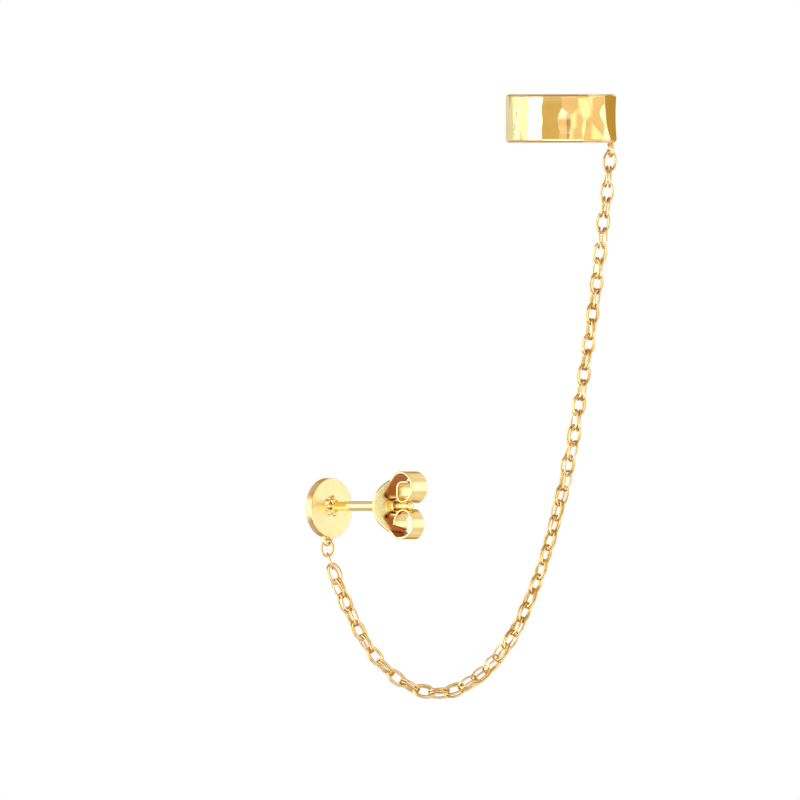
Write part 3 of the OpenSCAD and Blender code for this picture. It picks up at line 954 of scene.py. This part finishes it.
def face_rows(piece):
    """Centres in millimetres and normals of a piece's faces."""
    faces = piece.data.polygons
    centres, normals = np.empty(3 * len(faces)), np.empty(3 * len(faces))
    faces.foreach_get("center", centres)
    faces.foreach_get("normal", normals)
    return centres.reshape(-1, 3) / MM, normals.reshape(-1, 3)


def coat_faces(piece, material, chosen):
    """Gives some of a piece's faces another finish."""
    slots = np.zeros(len(piece.data.polygons), np.int32)
    piece.data.polygons.foreach_get("material_index", slots)
    slots[chosen] = len(piece.data.materials)
    piece.data.materials.append(material)
    piece.data.polygons.foreach_set("material_index", slots)


def coat(piece, material):
    """Gives a whole piece its finish."""
    piece.data.materials.clear()
    piece.data.materials.append(material)


def coat_disc_back(stud, material):
    """The disc's back has a satin finish, all around the solder."""
    centres, normals = face_rows(stud)
    along = centres @ ALONG + LOBE_GAP / 2
    coat_faces(stud, material, (np.abs(along) < DISC_BACK_NEAR) & (normals @ ALONG > DISC_BACK_SQUARE))


def coat_post_painted_light(stud, material):
    """Painted light on the post: it takes a paler copy of the disc's gold, so that it looks more brightly lit.
    """
    centres, _ = face_rows(stud)
    along = centres @ ALONG + LOBE_GAP / 2
    away = np.hypot(centres @ ASIDE, centres[:, 2])
    coat_faces(stud, material, (along > POST_PAINTED_LIGHT_FROM) & (away < POST_D / 2))


def coat_cuff_inside(cuff, material):
    """The band's inside and the two faces of its opening are left matt."""
    centres, normals = face_rows(cuff)
    off = centres - CUFF_MIDDLE
    outwards = (normals[:, :2] * off[:, :2]).sum(axis=1) / np.linalg.norm(off[:, :2], axis=1)
    at_end = (np.abs(outwards) < OPENING_SQUARE) & (np.abs(normals[:, 2]) < OPENING_SQUARE)
    coat_faces(cuff, material, (np.abs(off[:, 2]) < CUFF_H / 2) & ((outwards < INWARDS) | at_end))


# Studio
def window(tree, share, low, high, soft):
    """1 between two shares of a span, and 0 beyond them."""
    ramp = add_node(tree, "ShaderNodeValToRGB", {"Fac": share})
    ramp.color_ramp.interpolation = "EASE"
    elements = ramp.color_ramp.elements
    elements.new(0.4)
    elements.new(0.6)
    for element, (at, value) in zip(elements, [(low - soft, 0), (low, 1), (high, 1), (high + soft, 0)]):
        element.position = min(1, max(0, at))
        element.color = (value, value, value, 1)
    return ramp.outputs["Color"]


def room_light(tree):
    """What a polished surface sees in each direction."""
    spot = add_node(tree, "ShaderNodeTexCoord", {}).outputs["Generated"]
    split = add_node(tree, "ShaderNodeSeparateXYZ", {0: spot})
    turn = maths(tree, "ARCTAN2", split.outputs["X"], maths(tree, "MULTIPLY", split.outputs["Y"], -1.0))
    round_share = maths(tree, "ADD", maths(tree, "DIVIDE", turn, 2 * math.pi), 0.5)
    rise_share = maths(tree, "MULTIPLY_ADD", split.outputs["Z"], 0.5, 0.5)
    light = ROOM
    for (az_low, az_high), (z_low, z_high), (az_soft, z_soft), glow in SCREENS:
        beside = window(tree, round_share, az_low / 360 + 0.5, az_high / 360 + 0.5, az_soft / 360)
        above = window(tree, rise_share, z_low / 2 + 0.5, z_high / 2 + 0.5, z_soft / 2)
        shine = maths(tree, "MULTIPLY", beside, above, kind="ShaderNodeVectorMath")
        shine = maths(tree, "MULTIPLY", shine, glow, kind="ShaderNodeVectorMath")
        light = maths(tree, "ADD", light, shine, kind="ShaderNodeVectorMath")
    return light


def make_world():
    """The studio for what is glossy, and white for the camera and for all other surfaces."""
    world = bpy.data.worlds.new("studio")
    bpy.context.scene.world = world
    world.use_nodes = True
    tree = world.node_tree
    tree.nodes.clear()
    path = add_node(tree, "ShaderNodeLightPath", {})
    strength = maths(tree, "MULTIPLY_ADD", path.outputs["Is Diffuse Ray"], SOFT_EXTRA, WHITE)
    white = add_node(tree, "ShaderNodeBackground", {"Color": (1, 1, 1, 1), "Strength": strength})
    seen = add_node(tree, "ShaderNodeBackground", {"Color": room_light(tree)})
    mix = add_node(tree, "ShaderNodeMixShader", {
        "Fac": path.outputs["Is Glossy Ray"], 1: white.outputs[0], 2: seen.outputs[0],
    })
    add_node(tree, "ShaderNodeOutputWorld", {"Surface": mix.outputs[0]})


def make_floor():
    """A pale round floor."""
    turns = np.linspace(0, 2 * math.pi, FLOOR_STEPS, endpoint=False)
    heights = np.full(FLOOR_STEPS, FLOOR_Z)
    points = np.stack([FLOOR_R * np.cos(turns), FLOOR_R * np.sin(turns), heights], axis=1)
    floor = mesh_piece("studio_floor", points, [list(range(FLOOR_STEPS))])
    material = bpy.data.materials.new("pale_floor")
    material.use_nodes = True
    shader = material.node_tree.nodes["Principled BSDF"]
    join_inputs(material.node_tree, shader, {"Base Color": FLOOR_TONE, "Roughness": FLOOR_ROUGH})
    floor.data.materials.append(material)
    floor.visible_glossy = False


def make_camera():
    """The photograph's view, level and without perspective."""
    data = bpy.data.cameras.new("camera")
    data.type = "ORTHO"
    data.ortho_scale = FRAME_PX / PX_PER_MM * MM
    data.clip_start, data.clip_end = CAMERA_RANGE
    camera = bpy.data.objects.new("camera", data)
    bpy.context.scene.collection.objects.link(camera)
    camera.location = Vector((FRAME_MIDDLE[0], -CAMERA_AWAY, FRAME_MIDDLE[1])) * MM
    camera.rotation_euler = (math.radians(90), 0, 0)
    bpy.context.scene.camera = camera


golds = {name: gold(name, *looks) for name, looks in GOLDS.items()}
# Painted light on the sheet's plate and painted shade beside its scrolls' feet
paint_light_and_shade_on_gold(golds["sheet_gold"], SHEET_PAINTED_LIGHT, SHEET_PAINTED_SHADE)

make_camera()
make_world()
make_floor()

stud = place(make_stud(), EARRING, "polished_gold", "stud")
coat(stud, golds["polished_gold"])
coat_disc_back(stud, golds["satin_gold"])
# Painted light: the post takes a paler copy of the gold
coat_post_painted_light(stud, golds["pale_gold"])
back = place(make_back(), BACK, "sheet_gold", "butterfly_back")
coat(back, golds["sheet_gold"])
# Every link takes the darker chain gold, a painted shade
for piece, node in zip(make_chain(), ["jump_link", "end_link", "chain_stud_side", "chain_cuff_side"]):
    place(piece, EARRING, "chain_gold", node)
    coat(piece, golds["chain_gold"])
cuff = place(make_cuff(), EARRING, "hammered_gold", "cuff")
coat(cuff, golds["hammered_gold"])
coat_cuff_inside(cuff, golds["matt_gold"])

bpy.context.scene.view_settings.view_transform = "Standard"
